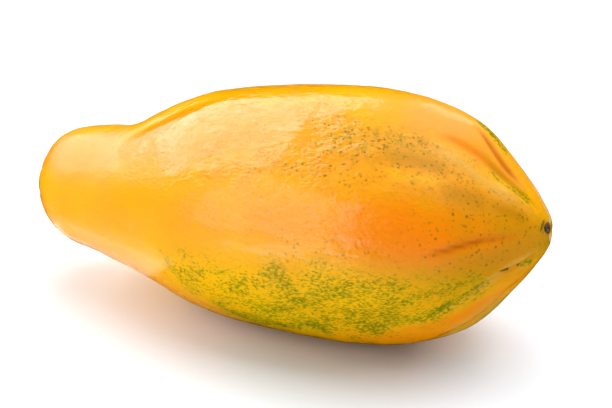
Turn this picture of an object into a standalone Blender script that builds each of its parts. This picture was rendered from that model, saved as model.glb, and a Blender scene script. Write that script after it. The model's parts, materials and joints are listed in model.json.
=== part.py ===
"""A whole ripe papaya, lying on its side the way it settles on a table.

The fruit grew as one piece, so it is one closed body with no core or inner layer. Its long axis runs
along X, from the stem end at -X to the blossom end at +X, with +Z up. The origin is under the middle
of the fruit, level with the small flat spot that it rests on.

Angles around the axis are in degrees: 0 is the front (-Y), 90 is the top and -90 is underneath.
"""

import math

import bmesh
import bpy
from mathutils import Matrix, Vector

# Size of the fruit, in metres.
LENGTH = 0.260
# Radius at equal steps of the half circle that the length is the diameter of, stem end first.
OUTLINE_RADII = (0.0, 0.0160, 0.0283, 0.0338, 0.0420, 0.0536, 0.0587,
                 0.0596, 0.0566, 0.0467, 0.0290, 0.0125, 0.0)

# The axis: the stem end bends up a little, and the fruit lies with its blossom end raised.
STEM_LIFT = 0.0021
STEM_BEND_PART = 0.45
LYING_TILT = 4.06

# The five grooves between the lobes, and how strongly the lobes swell along the length.
GROOVE_ANGLES = (-98.0, -30.0, 67.0, 128.0, 195.0)
LOBE_SWELL = ((0.0, 0.0), (0.25, 0.003), (0.50, 0.005), (0.70, 0.038), (0.80, 0.055),
              (0.90, 0.105), (0.96, 0.025), (1.0, 0.015))
GROOVE_SHARPNESS = 0.125
MIDRIB_CREASE = 0.15

# The shoulder: the neck is pinched on top, where the body starts.
SHOULDER_AT = 0.195
SHOULDER_LENGTH = 0.040
SHOULDER_ANGLE = 100.0
SHOULDER_SPREAD = 35.0
SHOULDER_DEPTH = 0.0052

# The two ends: a hollow with the cut stalk in it, and the notch where the flower sat.
STEM_HOLLOW_RADIUS = 0.0115
STEM_HOLLOW_DEPTH = 0.0032
STALK_RADIUS = 0.0050
STALK_HEIGHT = 0.0016
BLOSSOM_NOTCH_RADIUS = 0.0060
BLOSSOM_NOTCH_DEPTH = 0.0022

# The flat spot that the fruit rests on.
FLAT_DEPTH = 0.0011

# How finely the body is divided.
RINGS = 52
FINE_END_RINGS = 4
SIDES_PER_LOBE = 12

SKIN_COLOUR = (0.95, 0.46, 0.02, 1.0)
SKIN_ROUGHNESS = 0.35


def blend_between(pairs, where):
    """Read a value between (place, value) pairs, easing smoothly from each to the next."""
    for (start, low), (end, high) in zip(pairs, pairs[1:]):
        if where <= end:
            share = (where - start) / (end - start)
            return low + (high - low) * share * share * (3 - 2 * share)
    return pairs[-1][1]


def outline_radius(turn):
    """Radius at a turn of 0 to 1 from the stem end, on a smooth curve through OUTLINE_RADII."""
    ends = (-OUTLINE_RADII[1],) + OUTLINE_RADII + (-OUTLINE_RADII[-2],)
    steps = len(OUTLINE_RADII) - 1
    first = min(int(turn * steps), steps - 1)
    t = turn * steps - first
    a, b, c, d = ends[first:first + 4]
    return 0.5 * (2 * b + (c - a) * t + (2 * a - 5 * b + 4 * c - d) * t * t
                  + (3 * b - a - 3 * c + d) * t ** 3)


def ring_turns():
    """Where the rings lie, as turns of 0 to 1, twice as close at both ends."""
    fine = [step / (2 * RINGS) for step in range(2 * FINE_END_RINGS)]
    middle = [step / RINGS for step in range(FINE_END_RINGS, RINGS - FINE_END_RINGS + 1)]
    return fine + middle + [1 - turn for turn in reversed(fine)]


def turned_body():
    """The plain round body: the outline, spun about the X axis."""
    body = bmesh.new()
    outline = []
    for turn in ring_turns():
        along = LENGTH * (1 - math.cos(math.pi * turn)) / 2
        outline.append(body.verts.new((along, 0.0, outline_radius(turn))))
    edges = [body.edges.new(pair) for pair in zip(outline, outline[1:])]
    bmesh.ops.spin(body, geom=outline + edges, cent=(0, 0, 0), axis=(1, 0, 0),
                   angle=2 * math.pi, steps=SIDES_PER_LOBE * len(GROOVE_ANGLES), use_merge=True)
    bmesh.ops.remove_doubles(body, verts=body.verts, dist=0.00001)
    return body


def lobe_place(position):
    """The angle that a point of the round body moves to, and its share of the way across a lobe."""
    sides = SIDES_PER_LOBE * len(GROOVE_ANGLES)
    side = round(math.atan2(position.y, position.z) * sides / (2 * math.pi)) % sides
    lobe, step = divmod(side, SIDES_PER_LOBE)
    share = step / SIDES_PER_LOBE
    start = GROOVE_ANGLES[lobe]
    end = GROOVE_ANGLES[lobe + 1] if lobe + 1 < len(GROOVE_ANGLES) else GROOVE_ANGLES[0] + 360
    return start + (end - start) * share, share


def lobe_factor(along_share, lobe_share):
    """How much wider or narrower than the outline the fruit is, at a place on a lobe."""
    wave = math.cos(2 * math.pi * lobe_share)
    crease = math.exp(-((lobe_share - 0.5) / 0.06) ** 2)
    swell = -wave - GROOVE_SHARPNESS * (1 + wave) ** 2 - MIDRIB_CREASE * crease
    return 1 + blend_between(LOBE_SWELL, along_share) * swell


def shoulder_pinch(along_share, angle):
    """How far the neck is pinched in at a place on the skin."""
    along = (along_share - SHOULDER_AT) / SHOULDER_LENGTH
    around = (angle - SHOULDER_ANGLE) / SHOULDER_SPREAD
    return SHOULDER_DEPTH * math.exp(-along * along - around * around)


def bowl(radius, rim):
    """A round hollow: 1 in its middle, 0 at its rim and outside it."""
    return (1 - (radius / rim) ** 2) ** 2 if radius < rim else 0.0


def grow(body):
    """Move the points of the round body to the shape of the fruit."""
    for point in body.verts:
        along_share = point.co.x / LENGTH
        radius = math.hypot(point.co.y, point.co.z)
        angle, lobe_share = lobe_place(point.co)
        if radius > 0.00001:
            radius = radius * lobe_factor(along_share, lobe_share) - shoulder_pinch(along_share, angle)
        along = point.co.x
        if along_share < 0.5:
            along += STEM_HOLLOW_DEPTH * bowl(radius, STEM_HOLLOW_RADIUS)
            along -= STALK_HEIGHT * bowl(radius, STALK_RADIUS) ** 0.5
        else:
            along -= BLOSSOM_NOTCH_DEPTH * bowl(radius, BLOSSOM_NOTCH_RADIUS)
        lift = STEM_LIFT * max(0.0, 1 - along_share / STEM_BEND_PART) ** 2
        point.co = Vector((along, -radius * math.cos(math.radians(angle)),
                           radius * math.sin(math.radians(angle)) + lift))


def lay_down(body):
    """Tilt the fruit as it lies, press in its flat spot and put the origin under its middle."""
    bmesh.ops.rotate(body, verts=body.verts, cent=(0, 0, 0),
                     matrix=Matrix.Rotation(math.radians(-LYING_TILT), 3, "Y"))
    floor = min(point.co.z for point in body.verts) + FLAT_DEPTH
    cut = bmesh.ops.bisect_plane(body, geom=body.verts[:] + body.edges[:] + body.faces[:],
                                 plane_co=(0, 0, floor), plane_no=(0, 0, -1), clear_outer=True)
    rim = [part for part in cut["geom_cut"] if isinstance(part, bmesh.types.BMEdge)]
    bmesh.ops.edgeloop_fill(body, edges=rim)
    bmesh.ops.recalc_face_normals(body, faces=body.faces)
    low = Vector(min(point.co[axis] for point in body.verts) for axis in range(3))
    high = Vector(max(point.co[axis] for point in body.verts) for axis in range(3))
    middle = (low + high) / 2
    bmesh.ops.translate(body, verts=body.verts, vec=(-middle.x, -middle.y, -low.z))


def skin_material():
    """The waxy yellow-orange skin."""
    material = bpy.data.materials.new("papaya_skin")
    material.use_nodes = True
    shader = material.node_tree.nodes["Principled BSDF"]
    shader.inputs["Base Color"].default_value = SKIN_COLOUR
    shader.inputs["Roughness"].default_value = SKIN_ROUGHNESS
    shader.inputs["Metallic"].default_value = 0.0
    return material


def make_papaya():
    """Build the fruit as one smooth-shaded object."""
    body = turned_body()
    grow(body)
    lay_down(body)
    mesh = bpy.data.meshes.new("papaya")
    body.to_mesh(mesh)
    body.free()
    mesh.materials.append(skin_material())
    mesh.shade_smooth()
    mesh.set_sharp_from_angle(angle=math.radians(60))
    bpy.context.collection.objects.link(bpy.data.objects.new("papaya", mesh))


for old in list(bpy.data.objects):
    bpy.data.objects.remove(old, do_unlink=True)
make_papaya()
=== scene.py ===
# %% [markdown]
# A ripe papaya lying on its side on a pale table, under soft studio light.
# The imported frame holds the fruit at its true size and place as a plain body. This lesson takes a copy
# of that body, refines it the way a sculptor would, with creases and ridges pressed into the skin, and
# then paints the skin with nodes: a yellow ground, an orange blush, green mottling, freckles and wax.
# %% Load the frame
import json
import math

import bpy
import numpy as np
from mathutils import Matrix, Vector

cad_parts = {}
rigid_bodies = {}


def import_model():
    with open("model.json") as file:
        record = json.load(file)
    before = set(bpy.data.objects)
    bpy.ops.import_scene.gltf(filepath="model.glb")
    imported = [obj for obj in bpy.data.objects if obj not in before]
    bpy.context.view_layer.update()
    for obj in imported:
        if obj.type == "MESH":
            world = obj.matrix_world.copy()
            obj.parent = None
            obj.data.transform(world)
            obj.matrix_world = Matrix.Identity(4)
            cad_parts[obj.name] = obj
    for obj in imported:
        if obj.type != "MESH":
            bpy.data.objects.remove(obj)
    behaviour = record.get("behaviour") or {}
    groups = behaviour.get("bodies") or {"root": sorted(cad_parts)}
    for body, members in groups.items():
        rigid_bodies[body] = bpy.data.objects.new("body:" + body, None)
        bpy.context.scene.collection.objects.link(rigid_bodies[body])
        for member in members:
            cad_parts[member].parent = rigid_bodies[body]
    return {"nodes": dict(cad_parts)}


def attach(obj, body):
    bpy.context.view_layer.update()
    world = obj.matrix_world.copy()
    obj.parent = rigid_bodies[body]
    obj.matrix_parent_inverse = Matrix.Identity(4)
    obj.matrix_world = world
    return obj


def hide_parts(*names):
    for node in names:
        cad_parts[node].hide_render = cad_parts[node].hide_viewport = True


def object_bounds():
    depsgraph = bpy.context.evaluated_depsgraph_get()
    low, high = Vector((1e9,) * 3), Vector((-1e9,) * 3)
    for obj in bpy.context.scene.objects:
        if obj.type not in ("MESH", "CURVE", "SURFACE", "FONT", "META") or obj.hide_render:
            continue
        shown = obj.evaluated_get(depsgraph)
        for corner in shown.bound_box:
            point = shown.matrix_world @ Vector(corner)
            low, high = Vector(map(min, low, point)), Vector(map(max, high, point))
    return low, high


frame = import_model()
cad_low, cad_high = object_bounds()
print("fruit in the frame:", [round(size * 1000, 1) for size in cad_high - cad_low], "mm")

# %% [markdown]
# The frame's mesh is loose triangles, so the copy is merged first and its triangles are paired back
# into quads. Quads matter here: two levels of Subdivision Surface then flow along the fruit and give
# a smooth skin with a point about every millimetre, fine enough for the creases to come.
# %% Copy the body and refine it
WELD = 0.00001
MOST_BEND, MOST_SKEW = math.radians(50), math.radians(70)


def only(piece):
    """Make this piece the one that is selected and active."""
    bpy.ops.object.select_all(action="DESELECT")
    piece.select_set(True)
    bpy.context.view_layer.objects.active = piece


def finish_modifier(piece, kind, name, **settings):
    """Add a modifier, set it up and apply it at once."""
    modifier = piece.modifiers.new(name, kind)
    for setting, value in settings.items():
        setattr(modifier, setting, value)
    only(piece)
    bpy.ops.object.modifier_apply(modifier=modifier.name)


fruit = bpy.data.objects.new("papaya_fruit", frame["nodes"]["papaya"].data.copy())
bpy.context.collection.objects.link(fruit)
only(fruit)
bpy.ops.object.mode_set(mode="EDIT")
bpy.ops.mesh.select_all(action="SELECT")
bpy.ops.mesh.remove_doubles(threshold=WELD)
bpy.ops.mesh.tris_convert_to_quads(face_threshold=MOST_BEND, shape_threshold=MOST_SKEW)
bpy.ops.object.mode_set(mode="OBJECT")
print("merged body:", len(fruit.data.vertices), "points,", len(fruit.data.polygons), "faces")
finish_modifier(fruit, "SUBSURF", "refine", levels=2, render_levels=2)
bpy.ops.object.shade_smooth()
print("refined skin:", len(fruit.data.vertices), "points")

# %% [markdown]
# Everything on a papaya follows its long axis, from the cut stalk to the scar where the flower sat.
# The axis is found from the body itself: the middle of the skin at each end. A place on the skin is
# then two numbers that are easy to think in: how far along, in millimetres from the stalk, and the
# angle around, with 0 at the front, 90 on top and -90 underneath.
# %% Find the fruit's own axis
MM = 0.001
END_SLICE = 4 * MM


def skin_points():
    """All points of the fruit's mesh, one row each."""
    points = np.empty(len(fruit.data.vertices) * 3)
    fruit.data.vertices.foreach_get("co", points)
    return points.reshape(-1, 3)


points = skin_points()
stalk_end = Vector(points[points[:, 0] < points[:, 0].min() + END_SLICE].mean(axis=0))
blossom_end = Vector(points[points[:, 0] > points[:, 0].max() - END_SLICE].mean(axis=0))
axis = (blossom_end - stalk_end).normalized()
upward = axis.cross(Vector((0, 1, 0))).normalized()
stalk_end.x, blossom_end.x = cad_low.x, cad_high.x
print("axis rises", round(math.degrees(math.asin(axis.z)), 2), "degrees towards the blossom end")


def skin_place(along_mm, angle):
    """The point on the skin at a distance along the axis and an angle around it."""
    start = stalk_end + axis * (along_mm * MM)
    turn = math.radians(angle)
    outward = Vector((0, -1, 0)) * math.cos(turn) + upward * math.sin(turn)
    hit, place = fruit.ray_cast(start, outward)[:2]
    return place if hit else start


# %% [markdown]
# A crease is like one stroke of a sculpting brush: a line of places on the skin, a width and a depth.
# Each stroke is painted as a vertex group whose weight fades away from the line and towards both of
# its ends, and a Displace modifier then moves the skin along its normals by that weight.
# %% A stroke across the skin
STROKE_STEPS = 10
FAINTEST = 0.01


def stroke_line(places):
    """Points on the skin along a stroke, in equal steps between its places."""
    line = []
    for (along_a, angle_a), (along_b, angle_b) in zip(places, places[1:]):
        for step in range(STROKE_STEPS):
            share = step / STROKE_STEPS
            along_mm = along_a + (along_b - along_a) * share
            line.append(skin_place(along_mm, angle_a + (angle_b - angle_a) * share))
    line.append(skin_place(*places[-1]))
    return np.array(line)


def stroke_weights(places, width_mm, fade_in, fade_out):
    """Weight of every skin point under a stroke: 1 on the line, 0 past its width and at its ends."""
    line = stroke_line(places)
    points = skin_points()
    nearest = np.full(len(points), np.inf)
    share = np.zeros(len(points))
    for index, place in enumerate(line):
        away = np.linalg.norm(points - place, axis=1)
        closer = away < nearest
        nearest[closer] = away[closer]
        share[closer] = index / (len(line) - 1)
    across = np.exp(-(nearest / (width_mm * MM / 2)) ** 2)
    start = np.clip(share / fade_in, 0, 1) if fade_in else 1.0
    end = np.clip((1 - share) / fade_out, 0, 1) if fade_out else 1.0
    return across * start * end


def press(name, places, width_mm, depth_mm, fade_in=0.35, fade_out=0.2):
    """One stroke: a crease if depth is above 0, a ridge if it is below."""
    weights = stroke_weights(places, width_mm, fade_in, fade_out)
    group = fruit.vertex_groups.new(name=name)
    for index in np.nonzero(weights > FAINTEST)[0]:
        group.add([int(index)], float(weights[index]), "REPLACE")
    finish_modifier(fruit, "DISPLACE", name, vertex_group=name, mid_level=0.0, strength=-depth_mm * MM)


print("a stroke has", STROKE_STEPS, "steps between two places, and a vertex group for its weights")

# %% [markdown]
# A papaya flower has five carpels, and the fruit keeps them as five lobes with a groove between each
# two. The grooves are deepest near the blossom end, and the skin stands up in a lip beside them. One
# more line runs below the lower front groove.
# %% The grooves between the lobes
press("groove_upper", [(204, 71), (214, 74), (226, 76), (236, 73), (246, 68), (254, 62)],
      4.2, 0.8, 0.6, 0.2)
press("groove_upper_deep", [(228, 76), (236, 73), (246, 68), (254, 62)], 3.6, 0.8, 0.4, 0.2)
press("lip_upper", [(208, 64), (218, 64), (230, 60), (240, 57), (252, 54)], 6.0, -1.0)
press("groove_lower", [(200, -41), (212, -36), (222, -33), (231, -29), (238, -21), (243, -17),
                       (249, -22), (254, -32)], 3.6, 1.5)
press("lip_below", [(226, -38), (234, -33), (240, -26)], 3.0, -0.5)
press("lip_tip", [(239, -14), (245, -11), (253, -10)], 3.0, -0.7)
press("groove_under", [(208, -58), (222, -56), (236, -54), (248, -50)], 4.0, 1.5)
press("ridge_under", [(214, -51), (228, -50), (242, -47)], 3.5, -0.7)
press("groove_back_high", [(200, 130), (218, 129), (236, 126), (252, 122)], 4.0, 1.3)
press("lip_back_high", [(208, 138), (226, 137), (246, 132)], 5.0, -0.9)
press("groove_back_low", [(196, 196), (216, 197), (236, 193), (252, 187)], 4.0, 1.4)
press("lip_back_low", [(208, 188), (228, 187), (248, 181)], 4.5, -0.8)
press("groove_bottom", [(210, 262), (228, 263), (248, 260)], 4.0, 1.1)
print("grooves and lips:", len(fruit.vertex_groups))

# %% [markdown]
# Between the grooves, the lobes have finer lines: a crease down the middle of a lobe, short ones
# beside the grooves, and long shallow furrows further up the body. Two of them have a low lip where
# the skin was pushed aside.
# %% The finer creases of the lobes
press("crease_side", [(222, 92), (229, 87), (236, 82), (246, 76)], 2.6, 0.9)
press("crease_middle", [(212, 9), (224, 14), (233, 17), (248, 19)], 2.6, 1.15, 0.3, 0.4)
press("lip_middle", [(218, 7), (230, 11), (244, 12)], 3.0, -0.3)
press("crease_short", [(190, 58), (204, 55), (214, 52), (222, 53)], 6.0, 0.2)
press("crease_back", [(204, 160), (222, 161), (240, 158)], 3.0, 0.8)
press("crease_back_low", [(206, 229), (224, 230), (244, 226)], 3.0, 0.8)
press("furrow_upper", [(120, 55), (154, 57), (188, 58)], 9.0, 0.12)
press("furrow_back", [(92, 140), (130, 147), (166, 150), (200, 148)], 9.0, 0.6)
press("belly_furrow", [(154, 16), (174, 14), (196, 12)], 3.4, 0.8, 0.3, 0.12)
press("belly_ridge", [(152, 11), (174, 9.5), (196, 8)], 3.2, -0.75, 0.3, 0.1)
press("belly_furrow_low", [(166, 8), (194, 7)], 3.0, 0.3)
print("strokes with the finer creases:", len(fruit.vertex_groups))

# %% [markdown]
# The shoulder is where the slim neck swells into the body. A furrow runs round it on top, with a low
# ridge above, and short folds gather round the stalk like cloth round a button. Three broad, shallow
# strokes along the top of the neck round its outline off.
# %% The shoulder and the stalk end
FOLDS_AROUND_STALK = 7
FOLD_SWAY = 12
FOLD_REACH, REACH_SWAY = 13, 3

press("shoulder_furrow", [(50, 52), (58, 66), (67, 74), (82, 80), (98, 86), (112, 92)],
      12.0, 1.3, 0.45, 0.5)
press("shoulder_ridge", [(64, 88), (76, 94), (90, 100), (104, 106)], 10.0, -0.5)
press("neck_top", [(18, 92), (28, 92), (38, 92)], 22.0, 0.6, 0.4, 0.3)
press("neck_round", [(5, 92), (12, 92), (20, 92)], 18.0, -0.7, 0.2, 0.5)
press("shoulder_fill", [(38, 84), (45, 87), (51, 90), (57, 94)], 20.0, -1.9, 0.4, 0.4)
for fold_angle in (20, 34, 46):
    fold_places = [(50, fold_angle), (54, fold_angle + 8), (57, fold_angle + 20)]
    press(f"neck_fold_{fold_angle}", fold_places, 2.6, 0.12, 0.3, 0.3)
press("shoulder_furrow_back", [(56, 150), (66, 142), (80, 136), (98, 130)], 6.0, 0.7)
for fold in range(FOLDS_AROUND_STALK):
    around = 360 * fold / FOLDS_AROUND_STALK + FOLD_SWAY * math.sin(5 * fold)
    reach = FOLD_REACH + REACH_SWAY * math.sin(3 * fold)
    press(f"stalk_fold_{fold}", [(1, around), (5, around + 2), (reach, around + 5)], 4.0, 0.45, 0, 0.6)
print("all strokes pressed:", len(fruit.vertex_groups))

# %% [markdown]
# No fruit is as even as a turned body. Soft lumps a centimetre or so across, with smaller dimples
# among them, make the shine on a real skin wander and break up, though they are only a few tenths of a
# millimetre high. The skin near the table is left out, so that the fruit keeps its flat spot.
# %% Uneven the skin
REST_HEIGHT = 0.3 * MM
REST_MARGIN = 4 * MM
LUMP_SIZE, LUMP_HEIGHT = 14 * MM, 0.5 * MM
DIMPLE_SIZE, DIMPLE_HEIGHT = 5 * MM, 0.14 * MM

free = np.clip((skin_points()[:, 2] - REST_HEIGHT) / REST_MARGIN, 0, 1)
group = fruit.vertex_groups.new(name="free_skin")
for index, weight in enumerate(free):
    group.add([index], float(weight), "REPLACE")
for lump_size, lump_height in ((LUMP_SIZE, LUMP_HEIGHT), (DIMPLE_SIZE, DIMPLE_HEIGHT)):
    lumps = bpy.data.textures.new("lumps", "CLOUDS")
    lumps.noise_scale = lump_size
    lumps.noise_depth = 1
    finish_modifier(fruit, "DISPLACE", "lumps", texture=lumps, texture_coords="LOCAL", mid_level=0.5,
                    vertex_group="free_skin", strength=lump_height)
print("skin free to be uneven:", round(100 * float(free.mean()), 1), "% of the points, by weight")

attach(fruit, "root")
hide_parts("papaya")

# %% [markdown]
# Shader maths reads best as plain sums. A small class wraps a node socket, so that mask * 0.5 or
# 1 - mask adds its Math nodes by itself, instead of a long list of nodes and links by hand.
# %% A small language for shader maths


class Signal:
    """A number or colour that runs through a material's nodes."""

    def __init__(self, paint, socket):
        self.paint, self.socket = paint, socket

    def math(self, operation, *others):
        """One Math node on this signal and the others."""
        sockets = {0: self, **dict(enumerate(others, 1))}
        return self.paint.add("ShaderNodeMath", {"operation": operation}, sockets)

    def __add__(self, other):
        return self.math("ADD", other)

    def __mul__(self, other):
        return self.math("MULTIPLY", other)

    def __sub__(self, other):
        return self.math("SUBTRACT", other)

    def __rsub__(self, other):
        return (self * -1) + other

    def __truediv__(self, other):
        return self.math("DIVIDE", other)

    def __rtruediv__(self, other):
        return self.math("POWER", -1) * other

    __radd__, __rmul__ = __add__, __mul__

    def between(self, low, high):
        """0 below low, 1 above high, eased in between; turned round if low is above high."""
        return self.paint.add("ShaderNodeMapRange", {"interpolation_type": "SMOOTHSTEP"},
                              {"Value": self, "From Min": low, "From Max": high})


print("a signal can be added, subtracted, multiplied, divided and eased between two values")

# %% [markdown]
# A paint is one material. It holds the shader that all signals end in, and it adds the nodes that
# aren't plain maths: a mix of two colours, a noise of a given size in millimetres, or any other kind.
# The Mix node has sockets of the same name for numbers and for colours, so its colour sockets are
# picked by their place in the list.
# %% A material and its nodes
MIX_SHARE, MIX_FIRST, MIX_SECOND, MIX_RESULT = 0, 6, 7, 2


class Paint:
    """One material and the nodes that paint it."""

    def __init__(self, name, **constants):
        self.material = bpy.data.materials.new(name)
        self.material.use_nodes = True
        self.tree = self.material.node_tree
        self.shader = self.tree.nodes["Principled BSDF"]
        for socket, value in constants.items():
            self.shader.inputs[socket.replace("_", " ")].default_value = value

    def add(self, kind, settings=None, sockets=None, out=0):
        """Add a node: its settings first, then the values or links of its sockets."""
        node = self.tree.nodes.new(kind)
        for setting, value in (settings or {}).items():
            setattr(node, setting, value)
        for socket, value in (sockets or {}).items():
            if isinstance(value, Signal):
                self.tree.links.new(value.socket, node.inputs[socket])
            else:
                node.inputs[socket].default_value = value
        return Signal(self, node.outputs[out])

    def mix(self, share, first, second):
        """A colour between two colours."""
        sockets = {MIX_SHARE: share, MIX_FIRST: first, MIX_SECOND: second}
        return self.add("ShaderNodeMix", {"data_type": "RGBA"}, sockets, out=MIX_RESULT)

    def noise(self, where, size_mm, detail=2.0, rough=0.5, stretch=None):
        """Soft random values from 0 to 1, in patches of about this size."""
        if stretch:
            where = self.add("ShaderNodeMapping", {}, {"Vector": where, "Scale": stretch})
        scale = 1 / (size_mm * MM)
        return self.add("ShaderNodeTexNoise", {"normalize": True},
                        {"Vector": where, "Scale": scale, "Detail": detail, "Roughness": rough})

    def use(self, socket, signal):
        """Feed one of the shader's sockets."""
        self.tree.links.new(signal.socket, self.shader.inputs[socket])


def colour(red, green, blue):
    """A display colour, 0 to 255, as the linear colour that nodes use, by the sRGB curve."""
    shares = [part / 255 for part in (red, green, blue)]
    linear = [((share + 0.055) / 1.055) ** 2.4 if share > 0.04045 else share / 12.92 for share in shares]
    return (*linear, 1.0)


print("a middle grey in linear light:", round(colour(128, 128, 128)[0], 3))

# %% [markdown]
# The skin's colours each have their place on the fruit, so the paint starts from where it is: how far
# along in millimetres from the stalk, and the angle around in degrees. Both come from Object
# coordinates, turned to lie along the fruit's own axis. A soft patch around a place then tints a
# large area, and a noise makes its edge wander.
# %% Where on the skin
HALF_TURN, FULL_TURN = 180, 360

skin = Paint("papaya_skin", IOR=1.45, Coat_Roughness=0.07)
here = skin.add("ShaderNodeTexCoord", out="Object")
lie = axis.to_track_quat("X", "Z").to_matrix()
turned = skin.add("ShaderNodeMapping", {"vector_type": "TEXTURE"},
                  {"Vector": here, "Location": stalk_end, "Rotation": lie.to_euler()})
along = skin.add("ShaderNodeSeparateXYZ", {}, {0: turned}, out="X") / MM
front = skin.add("ShaderNodeSeparateXYZ", {}, {0: turned}, out="Y") * -1
height = skin.add("ShaderNodeSeparateXYZ", {}, {0: turned}, out="Z")
angle = height.math("ARCTAN2", front) * (HALF_TURN / math.pi)
wander = (skin.noise(turned, 16, detail=3.0) - 0.5) * 4


def spot(at, around, half_length, half_angle, ragged=0.25, hardness=0.5):
    """A soft patch with ragged edges around a place on the skin, 1 inside and 0 outside."""
    lengthwise = (along - at) / half_length
    turned_by = (angle - around + (FULL_TURN + HALF_TURN)).math("FLOORED_MODULO", FULL_TURN) - HALF_TURN
    sideways = turned_by / half_angle
    away = (lengthwise * lengthwise + sideways * sideways).math("SQRT") + wander * ragged
    return away.between(1 + (1 - hardness) / 2, hardness)


print("the place on the skin takes", len(skin.tree.nodes), "nodes")

# %% [markdown]
# Colours also follow the relief. In the creases they are orange, partly the skin's own colour and
# partly painted shade, burnt orange, which is painted shade, green or nearly black. The lip ridges are
# pale, partly the skin's own colour and partly a painted highlight. Gold runs along the shoulder
# furrow, and a brownish bronze of painted shade lies below the upper groove. They are airbrushed along
# the same kind of line as the creases. Each airbrush leaves its mask in the mesh as an attribute, a
# number for every point, which the material can then read by its name.
# %% Airbrush colour along the creases
SPRAY_FADE = 0.25
CLEARLY_SEEN = 0.3


def airbrush(name, strokes):
    """Spray a mask along lines of places, each with its width in mm, and read it in the material."""
    mask = np.zeros(len(fruit.data.vertices))
    for width_mm, places in strokes:
        mask = np.maximum(mask, stroke_weights(places, width_mm, SPRAY_FADE, SPRAY_FADE))
    attribute = fruit.data.attributes.new(name, "FLOAT", "POINT")
    attribute.data.foreach_set("value", mask)
    print(name, "covers", round(100 * float((mask > CLEARLY_SEEN).mean()), 1), "% of the points")
    return skin.add("ShaderNodeAttribute", {"attribute_name": name}, out="Fac")


# Orange along the creases: partly the skin's own colour, partly painted shade.
hollows_and_shade = airbrush("hollows_and_shade", [
    (3.6, [(208, 75), (216, 77), (226, 77), (238, 74)]),
    (3.0, [(225, 90), (230, 86), (237, 82), (244, 79)]),
    (4.0, [(212, 9), (224, 14), (233, 17), (250, 19)]),
    (4.0, [(204, 160), (222, 161), (240, 158)]),
    (5.0, [(200, 130), (218, 129), (234, 127)])])
greens = airbrush("greens", [
    (5.0, [(226, 75), (234, 71), (241, 68), (247, 67), (252, 69)]),
    (7.0, [(216, 98), (226, 97), (234, 94), (240, 91)]),
    (10.0, [(188, -40), (206, -35), (218, -32), (228, -29), (235, -25), (240, -19)]),
    (5.0, [(246, -17), (250, -26), (253, -34)]),
    (6.0, [(222, 196), (236, 193), (250, 187)]),
    (6.0, [(226, 128), (238, 125), (250, 122)])])
darks = airbrush("darks", [
    (2.6, [(239, -18), (241.5, -17.5), (244, -18)]),
    (2.2, [(246, -20), (247.5, -21)]),
    (1.6, [(254.5, 20), (255.5, 60)])])
golds = airbrush("golds", [
    (11.0, [(48, 66), (58, 72), (67, 77), (82, 83), (98, 88), (116, 94)]),
    (6.0, [(190, 46), (204, 45), (218, 48)])])
# Painted shade: the shadowed side of the short crease's valley and the skin just below the upper lip.
painted_shade_lines = airbrush("painted_shade_lines", [
    (8.0, [(186, 54), (198, 56), (210, 56), (219, 53)]),
    (11.0, [(214, 42), (226, 42), (236, 44)]),
    (6.0, [(232, 43), (242, 41), (252, 38)])])
# Burnt orange painted shade along the two deepest creases.
crease_shade = airbrush("crease_shade", [
    (2.6, [(211, 9), (224, 14), (233, 17), (248, 19)]),
    (2.4, [(222, 92), (229, 87), (236, 82), (246, 76)])])
# Pale along the lip ridges: partly the skin's own colour, partly a painted highlight.
pale_lips_and_shine = airbrush("pale_lips_and_shine", [
    (7.0, [(202, 66), (218, 66), (230, 61), (240, 57), (255, 54)]),
    (3.4, [(228, -30), (234, -28), (238, -22), (241, -17)]),
    (3.0, [(240, -13), (246, -10), (255, -9)]),
    (3.4, [(214, -50), (228, -49), (244, -44)]),
    (4.0, [(210, 138), (228, 137), (248, 131)]),
    (4.0, [(210, 188), (230, 187), (250, 180)])])

# %% [markdown]
# A papaya ripens from green to yellow to orange, and never evenly. The ground here is golden yellow
# that deepens in large drifts. It is honey-coloured on the neck and along the upper side, partly the
# skin's own colour and partly painted shade where the light from above falls strongest, and ochre
# towards the blossom end, with an orange blush at the widest part. It pales to peach low on the body,
# partly the skin's own colour and partly a painted reflection of the bright table, and to salmon above
# the upper groove, partly the skin's own colour and partly a painted sheen. Each colour is laid over
# the ones before it, as a soft patch or as an airbrushed line.
# %% The ground and the blush
GOLD = colour(243, 172, 1)
# Honey is partly the skin's own colour and partly painted shade where the light from above falls strongest.
HONEY_AND_SHADE = colour(243, 145, 8)
# Peach is partly the skin's own colour and partly a painted reflection of the bright table.
PEACH_AND_TABLE_SHINE = colour(250, 168, 60)
RUSSET = colour(228, 134, 1)
AMBER = colour(241, 158, 1)
OCHRE = colour(203, 133, 1)
BLUSH = colour(252, 134, 1)
# Salmon is partly the skin's own colour and partly a painted sheen.
SALMON_AND_SHEEN = colour(255, 158, 56)
ORANGE = colour(246, 139, 2)
# The bronze is painted shade.
SHADE_BRONZE = colour(172, 112, 1)

drift = skin.noise(turned, 40, detail=2.0).between(0.35, 0.65)
ground = skin.mix(drift * 0.55, GOLD, AMBER)
ground = skin.mix(along.between(172, 205) * 0.55, ground, AMBER)
ground = skin.mix(spot(242, 14, 54, 46, hardness=0.3) * 0.9, ground, OCHRE)
ground = skin.mix(spot(182, 58, 36, 12, hardness=0.3) * 0.9, ground, OCHRE)
# Honey patches: partly the skin's own colour, partly painted shade that tones down the brightest light.
ground = skin.mix(spot(100, 62, 100, 27, hardness=0.4) * 0.95, ground, HONEY_AND_SHADE)
ground = skin.mix(spot(30, 54, 36, 26, hardness=0.4) * 0.9, ground, HONEY_AND_SHADE)
ground = skin.mix(spot(34, -25, 50, 34, hardness=0.3) * 0.4, ground, HONEY_AND_SHADE)
ground = skin.mix(spot(198, 47, 40, 18, hardness=0.2) * 0.5, ground, RUSSET)
ground = skin.mix(spot(82, 12, 42, 24, hardness=0.2) * 0.4, ground, HONEY_AND_SHADE)
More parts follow.
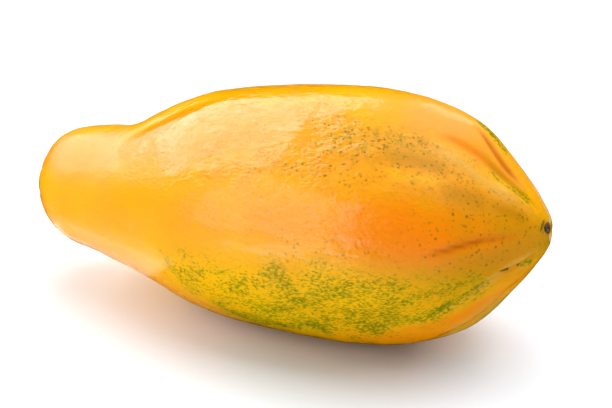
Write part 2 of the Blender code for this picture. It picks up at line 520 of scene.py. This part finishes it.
# Peach low on the left side: partly a painted reflection of the table below it.
ground = skin.mix(spot(88, -50, 46, 20, hardness=0.3) * 0.75, ground, PEACH_AND_TABLE_SHINE)
ground = skin.mix(golds * 0.8, ground, GOLD)
# Painted shade in bronze along those lines.
ground = skin.mix(painted_shade_lines * 0.6, ground, SHADE_BRONZE)
ground = skin.mix(spot(164, 20, 52, 14, hardness=0.1) * 0.5, ground, BLUSH)
ground = skin.mix(spot(204, 19, 33, 16, ragged=0.2, hardness=0.15) * 0.95, ground, BLUSH)
# Salmon above the upper groove: partly a painted sheen.
ground = skin.mix(spot(208, 85, 34, 13, hardness=0.2) * 0.8, ground, SALMON_AND_SHEEN)
ground = skin.mix(spot(214, -47, 42, 8, hardness=0.4) * 0.85, ground, ORANGE)
ground = skin.mix(spot(170, 205, 60, 26, hardness=0.2) * 0.6, ground, BLUSH)
ground = skin.mix(spot(240, 170, 40, 60, hardness=0.3) * 0.7, ground, OCHRE)
print("nodes with the ground:", len(skin.tree.nodes))

# %% [markdown]
# Where the fruit lay in the shade of its leaves it stays green longest. That green shows as a veil of
# olive and, in it, small dark dashes that run along the fruit: noise that is stretched lengthwise and
# cut off, with a broader noise that gathers the dashes into drifts. Brown and tan blotches, cut from
# one more noise, cloud the upper side.
# %% The green mottling
OLIVE = colour(226, 184, 2)
TAN = colour(192, 160, 56)
LEAF = colour(156, 146, 4)
SHADE = colour(104, 112, 6)
UMBER = colour(196, 136, 2)


def strongest(first, *others):
    """Several masks in one: the highest of them everywhere."""
    for other in others:
        first = first.math("MAXIMUM", other)
    return first


green_side = spot(166, -22, 70, 27, ragged=0.3, hardness=0.35)
green_low = spot(138, -40, 34, 13, ragged=0.3, hardness=0.3)
green_left = spot(108, -15, 28, 17, ragged=0.4, hardness=0.2)
green_strip = spot(206, -34, 34, 7, ragged=0.3, hardness=0.3)
green_upper = spot(178, 61, 40, 13, ragged=0.4, hardness=0.2)
green_back = spot(150, 170, 70, 22, ragged=0.4, hardness=0.3)
green = strongest(green_side, green_back, green_strip, green_upper * 0.3, green_left * 0.6)
ground = skin.mix(green * 0.55 + green_low * 0.4, ground, OLIVE)
ground = skin.mix(spot(234, -68, 26, 13, hardness=0.6) * 0.8, ground, TAN)
gather = skin.noise(turned, 8, detail=3.0, rough=0.6, stretch=(0.6, 1.0, 1.0))
dash_wide = skin.noise(turned, 1.05, detail=2.0, rough=0.5, stretch=(0.62, 1.0, 1.0))
dash_fine = skin.noise(turned, 0.7, detail=1.0, rough=0.5, stretch=(0.6, 1.0, 1.0))
pattern = dash_wide * 0.75 + dash_fine * 0.25 + (gather - 0.5) * 0.5
thick = pattern + (green + green_low * 0.5) * 0.10
blotchy = skin.noise(turned, 3.2, detail=2.0, rough=0.6).between(0.48, 0.62)
ground = skin.mix(blotchy * spot(194, 58, 44, 19, hardness=0.3) * 0.7, ground, UMBER)
tan_side = spot(128, 60, 44, 22, ragged=0.4, hardness=0.2)
ground = skin.mix((blotchy + gather - 0.6) * tan_side * 0.5, ground, TAN)
veiled = (green * 1.2).between(0.0, 0.7)
ground = skin.mix(thick.between(0.52, 0.65) * veiled * 0.75, ground, LEAF)
ground = skin.mix(thick.between(0.61, 0.75) * veiled * 0.75, ground, SHADE)
print("nodes with the mottling:", len(skin.tree.nodes))

# %% [markdown]
# Freckles are the skin's small pores, dried and darkened. Each one is a cell of a Voronoi pattern,
# cut to a small dot, and a second random value leaves a share of the cells empty. The coordinates are
# shaken a little first, so that the dots aren't perfectly round.
# %% The freckles
FRECKLE = colour(96, 88, 14)
SHAKE_SIZE, SHAKE_REACH = 0.9 * MM, 0.7 * MM

shake = skin.add("ShaderNodeTexNoise", {}, {"Vector": turned, "Scale": 1 / SHAKE_SIZE, "Detail": 1.0},
                 out="Color")
shaken = skin.add("ShaderNodeVectorMath", {"operation": "MULTIPLY_ADD"},
                  {0: shake, 1: (SHAKE_REACH, SHAKE_REACH, SHAKE_REACH), 2: turned})


def freckles(size_mm, radius_mm, kept):
    """Dots in a share of the cells of a Voronoi pattern."""
    pattern_sockets = {"Vector": shaken, "Scale": 1 / (size_mm * MM)}
    distance = skin.add("ShaderNodeTexVoronoi", {}, pattern_sockets, out="Distance")
    random_colour = skin.add("ShaderNodeTexVoronoi", {}, pattern_sockets, out="Color")
    pick = skin.add("ShaderNodeSeparateColor", {}, {0: random_colour})
    radius = radius_mm / size_mm
    return distance.between(radius, radius * 0.35) * pick.between(kept + 0.04, kept)


freckle_zone = strongest(
    spot(242, 24, 34, 48, ragged=0.4, hardness=0.4),
    spot(182, 56, 66, 22, ragged=0.3, hardness=0.4),
    spot(170, 8, 40, 10, ragged=0.3, hardness=0.3) * 0.6,
    spot(200, 190, 70, 80, ragged=0.3, hardness=0.4) * 0.7)
crowded = spot(204, 56, 46, 20, ragged=0.3, hardness=0.3)
dots = strongest(freckles(2.8, 0.95, 0.6), freckles(1.9, 0.6, 0.6) * 0.8, freckles(2.2, 0.8, 0.7) * crowded)
ground = skin.mix(dots * freckle_zone * gather.between(0.25, 0.5) * 0.75, ground, FRECKLE)
print("nodes with the freckles:", len(skin.tree.nodes))

# %% [markdown]
# The airbrushed creases go over all of that, with the painted shade in them. Their green, pale and
# dark lines are broken up by the dash noise, so that no edge is too clean, and the pale is partly a
# painted highlight. The very tip is brown and corky where the flower sat, with streaks running into it.
# %% The creases and the tip
# The orange of the creases is partly the skin's own colour and partly painted shade.
HOLLOW_AND_SHADE = colour(244, 130, 1)
# The pale of the lip ridges is partly the skin's own colour and partly a painted highlight.
LIP_PALE_AND_SHINE = colour(216, 162, 58)
CORK = colour(104, 72, 34)
SCORCH = colour(66, 56, 34)
# The burnt orange is painted shade for the deepest creases.
CREASE_SHADE_ORANGE = colour(170, 78, 2)
TIP_STARTS, TIP_DEEPENS = 246, 12

streaks = skin.noise(turned, 1.6, detail=2.0, stretch=(0.25, 1.0, 1.0))
# Orange in the creases, partly painted shade.
ground = skin.mix(hollows_and_shade * 0.75, ground, HOLLOW_AND_SHADE)
# Painted shade in the deepest creases.
ground = skin.mix(crease_shade * 0.7, ground, CREASE_SHADE_ORANGE)
# Pale lip ridges, partly a painted highlight.
ground = skin.mix((pale_lips_and_shine + (dash_fine - 0.5) * 0.5) * 0.8, ground, LIP_PALE_AND_SHINE)
ground = skin.mix(greens * 0.35, ground, OLIVE)
ground = skin.mix((greens * 0.9 + (pattern - 0.5) * 3.2).between(0.5, 0.95) * greens * 0.85, ground, LEAF)
ground = skin.mix((greens * 0.8 + (pattern - 0.5) * 3.2).between(0.7, 1.2) * greens * 0.8, ground, SHADE)
ground = skin.mix((darks + (dash_fine - 0.5) * 0.8).between(0.3, 0.7) * 0.9, ground, SCORCH)
tip = (along - TIP_STARTS) / TIP_DEEPENS + (streaks - 0.5) * 1.2
ground = skin.mix(tip.between(0.3, 1.1) * 0.35, ground, LEAF)
ground = skin.mix(tip.between(0.9, 1.6) * 0.5, ground, CORK)
skin.use("Base Color", ground)
print("nodes with the whole colour:", len(skin.tree.nodes))

# %% [markdown]
# Wax gives the skin its shine, and the fine wrinkles under it break that shine up. Two noises do it
# through one Bump node: ripples a few millimetres long, and finer ones among them. The wax is a thin
# Coat over the skin. It lies patchily, and it has worn dull on the neck, on the ridge above the upper
# groove and low on the side.
# %% The wax and the fine wrinkles
WRINKLE_DEPTH = 0.9 * MM

fine_ripples = skin.noise(turned, 1.4, detail=1.0, stretch=(0.7, 1.0, 1.0))
ripples = skin.noise(turned, 3.0, detail=2.0, rough=0.55, stretch=(0.6, 1.0, 1.0))
upper_side = spot(124, 58, 68, 34, ragged=0.4, hardness=0.2)
wrinkled = skin.noise(turned, 18, detail=1.0).between(0.35, 0.6) * upper_side
coarse = spot(155, 18, 62, 30, ragged=0.3, hardness=0.2)
body = along.between(40, 75)
relief = ripples * (wrinkled * 0.62 + coarse * 0.4 + body * 0.14 + 0.12)
relief = relief + fine_ripples * (coarse * 0.35 + 0.12)
bump = skin.add("ShaderNodeBump", {}, {"Strength": 1.0, "Distance": WRINKLE_DEPTH, "Height": relief})
skin.use("Normal", bump)
dull_neck = spot(34, 60, 34, 50, ragged=0.2, hardness=0.3)
dull_ridge = spot(212, 76, 36, 34, ragged=0.3, hardness=0.3)
dull_low = spot(76, -55, 46, 36, ragged=0.2, hardness=0.4)
dull = strongest(dull_neck, dull_ridge, dull_low)
skin.use("Roughness", drift * 0.04 + coarse * 0.05 + dull * 0.13 + 0.14)
patches = skin.noise(turned, 2.6, detail=3.0, rough=0.6, stretch=(0.5, 1.0, 1.0))
patchy = patches.between(0.36, 0.6) + 0.4
skin.use("Coat Weight", (0.42 - dull * 0.32) * patchy)
fruit.data.materials.clear()
fruit.data.materials.append(skin.material)
print("nodes of the finished skin:", len(skin.tree.nodes))

# %% [markdown]
# Both ends keep something dry: a disc of the cut stalk, sunk in its hollow, and a small scar where the
# flower sat. Each starts as a circle that is raised to a low drum, has its rim drawn in and its middle
# sunk, because pith dries back further than the wood round it. A little noise then makes it uneven.
# %% The cut stalk and the flower's scar
DRY = colour(122, 88, 48)
CHAR = colour(62, 46, 26)
CRACK_DEPTH = 0.4 * MM
DRUM_RINGS = ((0.16, 0.2), (0.30, -0.05), (0.22, -0.5), (0.16, 0.1))
GRIT_SIZE, GRIT_HEIGHT = 0.8 * MM, 0.25 * MM
OUTSIDE = 20 * MM
SCAR_UP, SCAR_FORWARD = 5.6 * MM, 6.4 * MM
STALK_SUNK, SCAR_SUNK = 1.5 * MM, 0.7 * MM

cork = Paint("dry_stalk", Roughness=0.85)
grain = cork.add("ShaderNodeTexCoord", out="Object")
cracks = cork.noise(grain, 1.2, detail=3.0, stretch=(0.2, 1.0, 1.0)).between(0.35, 0.65)
cork.use("Base Color", cork.mix(cracks, DRY, CHAR))
cork.use("Normal", cork.add("ShaderNodeBump", {}, {"Distance": CRACK_DEPTH, "Height": cracks}))


def dry_button(name, base, outward, radius_mm, height_mm):
    """A low dry drum with a sunken middle, standing on the skin and facing outward."""
    bpy.ops.object.select_all(action="DESELECT")
    bpy.ops.mesh.primitive_circle_add(vertices=20, radius=radius_mm * MM, fill_type="NGON", location=base,
                                      rotation=outward.to_track_quat("Z", "Y").to_euler())
    button = bpy.context.object
    button.name = name
    bpy.ops.object.mode_set(mode="EDIT")
    bpy.ops.mesh.select_all(action="SELECT")
    bpy.ops.mesh.extrude_region_move(TRANSFORM_OT_translate={"value": outward * (height_mm * MM)})
    for inward, raised in DRUM_RINGS:
        bpy.ops.mesh.inset(thickness=radius_mm * inward * MM, depth=height_mm * raised * MM)
    bpy.ops.mesh.select_all(action="SELECT")
    bpy.ops.mesh.normals_make_consistent(inside=False)
    bpy.ops.object.mode_set(mode="OBJECT")
    bpy.ops.object.transform_apply(location=True, rotation=True, scale=True)
    finish_modifier(button, "SUBSURF", "round", levels=3, render_levels=3)
    bulge_size, bulge_height = radius_mm * 0.8 * MM, radius_mm * 0.3 * MM
    for knob_size, knob_height in ((bulge_size, bulge_height), (GRIT_SIZE, GRIT_HEIGHT)):
        knobs = bpy.data.textures.new(name, "CLOUDS")
        knobs.noise_scale = knob_size
        finish_modifier(button, "DISPLACE", "knobs", texture=knobs, texture_coords="LOCAL", mid_level=0.5,
                        strength=knob_height)
    bpy.ops.object.shade_smooth()
    button.data.materials.append(cork.material)
    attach(button, "root")
    print(name, "stands at", [round(value * 1000, 1) for value in base])


hollow_floor = fruit.ray_cast(stalk_end - axis * OUTSIDE, axis)[1]
notch_start = blossom_end + axis * OUTSIDE + upward * SCAR_UP + Vector((0, -SCAR_FORWARD, 0))
notch_floor, notch_normal = fruit.ray_cast(notch_start, -axis)[1:3]
scar_faces = (axis + notch_normal * 2).normalized()
dry_button("stalk_stub", hollow_floor + axis * STALK_SUNK, -axis, 4.6, 2.6)
dry_button("blossom_scar", notch_floor - notch_normal * SCAR_SUNK, scar_faces, 2.7, 1.2)

# %% [markdown]
# The table is a wide pale plane, and a very broad noise keeps its white from being perfectly even.
# The shine doesn't see it, because cards of light take its place there later.
# %% The table
TABLE_SIZE = 8.0
CLOUD_SIZE_MM = 400
COOL_WHITE = (0.81, 0.86, 0.92, 1.0)
PALER_WHITE = (0.825, 0.87, 0.93, 1.0)

bpy.ops.mesh.primitive_plane_add(size=TABLE_SIZE, location=(0, 0, 0))
table = bpy.context.object
table.name = "table"
pale = Paint("pale_table", Roughness=0.6)
cloudy = pale.noise(pale.add("ShaderNodeTexCoord", out="Object"), CLOUD_SIZE_MM)
pale.use("Base Color", pale.mix(cloudy, COOL_WHITE, PALER_WHITE))
table.data.materials.append(pale.material)
table.visible_glossy = False
print("table:", TABLE_SIZE, "m wide")

# %% [markdown]
# Four soft boxes light the colours of the fruit, and a white room evens that light out, which keeps
# the shadow soft and close to it. The shine is lit apart: soft boxes that only the wax reflects, so
# that each pale patch can be placed and weighed by itself without bleaching the colour under it.
# %% The soft boxes
FRUIT_MIDDLE = Vector((0, 0, 0.06))
ROOM_STRENGTH = 0.36


def soft_box(name, azimuth, elevation, distance, width, tall, power, shine=True, tint=(1, 1, 1)):
    """A rectangular light that faces the fruit, for the shine alone or for the colours alone."""
    turn, rise = math.radians(azimuth), math.radians(elevation)
    away = Vector((math.sin(turn) * math.cos(rise), -math.cos(turn) * math.cos(rise), math.sin(rise)))
    lamp = bpy.data.lights.new(name, "AREA")
    lamp.shape = "RECTANGLE"
    lamp.size = width
    lamp.size_y = tall
    lamp.energy = power
    lamp.color = tint
    box = bpy.data.objects.new(name, lamp)
    box.location = FRUIT_MIDDLE + away * distance
    box.rotation_euler = away.to_track_quat("Z", "Y").to_euler()
    box.visible_diffuse = not shine
    box.visible_glossy = shine
    bpy.context.collection.objects.link(box)
    return box


soft_box("main_above", 175, 77, 1.2, 1.35, 1.25, 13.6, shine=False)
soft_box("fill_front", -46, 14, 1.2, 0.9, 0.8, 3.3, shine=False)
soft_box("fill_left", -92, 25, 1.2, 1.2, 0.8, 13.2, shine=False, tint=(1.0, 0.97, 0.96))
soft_box("fill_right", 112, 48, 1.2, 1.0, 0.8, 8.0, shine=False)
soft_box("shine_left", -105, 48, 1.1, 1.46, 0.95, 12.2)
soft_box("shine_left_top", -130, 67.5, 1.1, 0.42, 0.14, 0.28)
soft_box("shine_left_low", -100, 26, 1.1, 1.1, 0.5, 1.5)
soft_box("shine_neck", -107, 14, 1.1, 0.7, 0.3, 0.5)
soft_box("shine_front", -25, 22.5, 1.2, 0.78, 1.06, 4.1)
soft_box("shine_back", 164, 41, 1.2, 0.5, 0.6, 2.1)
room = bpy.data.worlds.new("white_room")
bpy.context.scene.world = room
room.use_nodes = True
room.node_tree.nodes["Background"].inputs["Color"].default_value = (1.0, 1.0, 1.0, 1.0)
room.node_tree.nodes["Background"].inputs["Strength"].default_value = ROOM_STRENGTH
room.cycles_visibility.glossy = False
print("soft boxes:", len(bpy.data.lights))

# %% [markdown]
# Low on its side the fruit mirrors the bright table. Small cards of light that lie on the table give
# that shine its place and strength. The four on the left share their left edge and each reaches a
# little further than the last, so the low shine fades out in small steps. Two more cards light the
# colours instead, as the table would if it were brighter there.
# %% The cards on the table
CARD_HEIGHT = 1 * MM
LEFT_CARDS = 4
LEFT_EDGE, LEFT_MIDDLE, LEFT_DEPTH = -0.225, -0.034, 0.085
FIRST_REACH, REACH_STEP = 0.075, 0.025
LEFT_STRENGTH = 7.0


def card_light(name, x, y, width, deep, power, shine=True):
    """A card of light on the table that faces up, for the shine alone or for the colours alone."""
    card = soft_box(name, 0, 0, 0, width, deep, power, shine)
    card.location = (x, y, CARD_HEIGHT)
    card.rotation_euler = (math.pi, 0, 0)
    card.visible_camera = False


card_light("shine_card_front", -0.045, -0.38, 0.16, 0.36, 0.4)
for step in range(LEFT_CARDS):
    reach = FIRST_REACH + REACH_STEP * step
    card_light(f"shine_card_left_{step}", LEFT_EDGE + reach / 2, LEFT_MIDDLE, reach, LEFT_DEPTH,
               LEFT_STRENGTH * reach * LEFT_DEPTH)
card_light("shine_card_behind", 0.14, 0.5, 0.9, 0.7, 0.9)
card_light("bounce_front", -0.05, -0.3, 0.6, 0.4, 0.5, shine=False)
card_light("bounce_left", -0.2, -0.06, 0.3, 0.3, 0.1, shine=False)
print("all lights:", len(bpy.data.lights))

# %% [markdown]
# The camera looks down at the fruit from a little to the right of its middle, with a moderately long
# lens, so that its shape isn't stretched. The tones are shown as they are, because a film-like tone
# curve would dull the strong yellow.
# %% The camera
CAMERA_TURN, CAMERA_RISE, CAMERA_ROLL = 19.0, 26.45, 0.6
CAMERA_DISTANCE = 0.5344
CAMERA_RIGHT, CAMERA_UP = 0.0119, -0.0015
LENS = 65
NEAREST_SEEN = 0.01

turn, rise, roll = (math.radians(angle_deg) for angle_deg in (CAMERA_TURN, CAMERA_RISE, CAMERA_ROLL))
back = Vector((math.sin(turn) * math.cos(rise), -math.cos(turn) * math.cos(rise), math.sin(rise)))
level = Vector((math.cos(turn), math.sin(turn), 0))
over = back.cross(level)
right = level * math.cos(roll) + over * math.sin(roll)
top = over * math.cos(roll) - level * math.sin(roll)
eye = FRUIT_MIDDLE + back * CAMERA_DISTANCE + right * CAMERA_RIGHT + top * CAMERA_UP
camera = bpy.data.objects.new("camera", bpy.data.cameras.new("camera"))
camera.data.lens = LENS
camera.data.clip_start = NEAREST_SEEN
camera.matrix_world = Matrix.Translation(eye) @ Matrix((right, top, back)).transposed().to_4x4()
bpy.context.collection.objects.link(camera)
bpy.context.scene.camera = camera
bpy.context.scene.view_settings.view_transform = "Standard"
print("camera:", LENS, "mm lens,", round(CAMERA_DISTANCE * 1000), "mm from the middle of the fruit")
